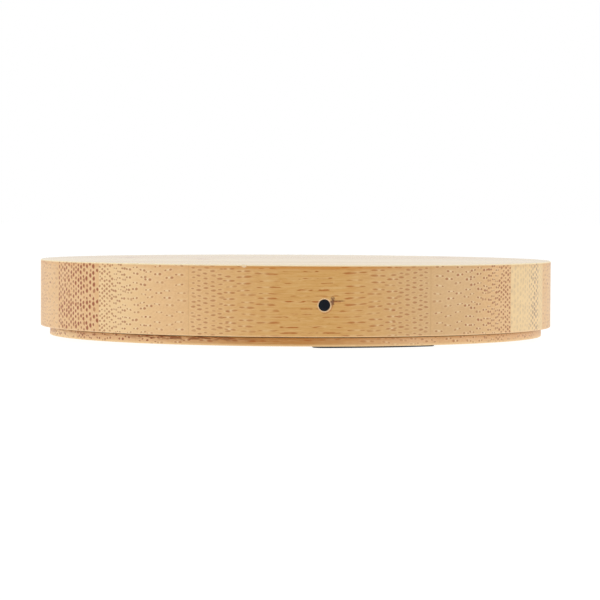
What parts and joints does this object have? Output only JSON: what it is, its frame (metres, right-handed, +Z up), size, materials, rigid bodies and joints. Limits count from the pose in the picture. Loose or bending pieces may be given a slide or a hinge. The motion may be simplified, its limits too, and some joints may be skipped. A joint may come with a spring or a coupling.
{
  "type": "lazy susan turntable",
  "caption": "Small bamboo lazy susan: a thick round platter with a hole in its rim turns on a ball bearing hidden over a thin round base board with rubber pads.",
  "frame": {"origin": "centre of the footprint, on the surface that the turntable stands on", "axes": "+Z up along the platter's spin axis; the hole in the rim faces -Y at rest"},
  "size_m": [0.15, 0.15, 0.0228],
  "materials": {
    "platter_bamboo": "clear satin lacquer over laminated bamboo",
    "base_bamboo": "clear satin lacquer over laminated bamboo",
    "black_moulding": "matte injection moulding",
    "track_steel": "rolled and polished",
    "ball_steel": "ground and polished",
    "screw_steel": "zinc plated",
    "bolt_steel": "zinc plated",
    "insert_brass": "turned",
    "white_nylon": "natural nylon",
    "black_rubber": "matte"
  },
  "bodies": {
    "base": {"base_board": "base_bamboo", "lower_race": "black_moulding", "lower_track": "track_steel", "lower_race_screws": "screw_steel", "pivot_bush": "white_nylon", "bush_screws": "screw_steel", "bolt_washer": "screw_steel", "foot_pad_front": "black_rubber", "foot_pad_right": "black_rubber", "foot_pad_left": "black_rubber"},
    "turntable": {"platter": "platter_bamboo", "upper_race": "black_moulding", "upper_track": "track_steel", "upper_race_screws": "screw_steel", "threaded_insert": "insert_brass", "insert_screws": "screw_steel", "pivot_bolt": "bolt_steel", "thrust_washer": "white_nylon"},
    "ball_ring": {"ball_cage": "white_nylon", "bearing_balls": "ball_steel"}
  },
  "joints": [
    {"name": "platter_spin", "type": "hinge", "parent": "base", "child": "turntable", "pos_m": [0, 0, 0.0086], "axis": [0, 0, 1], "continuous": true},
    {"name": "ball_ring_orbit", "type": "hinge", "parent": "base", "child": "ball_ring", "pos_m": [0, 0, 0.0086], "axis": [0, 0, 1], "continuous": true}
  ],
  "couplings": [
    {"joint": "ball_ring_orbit", "follows": "platter_spin", "ratio": 0.5}
  ]
}
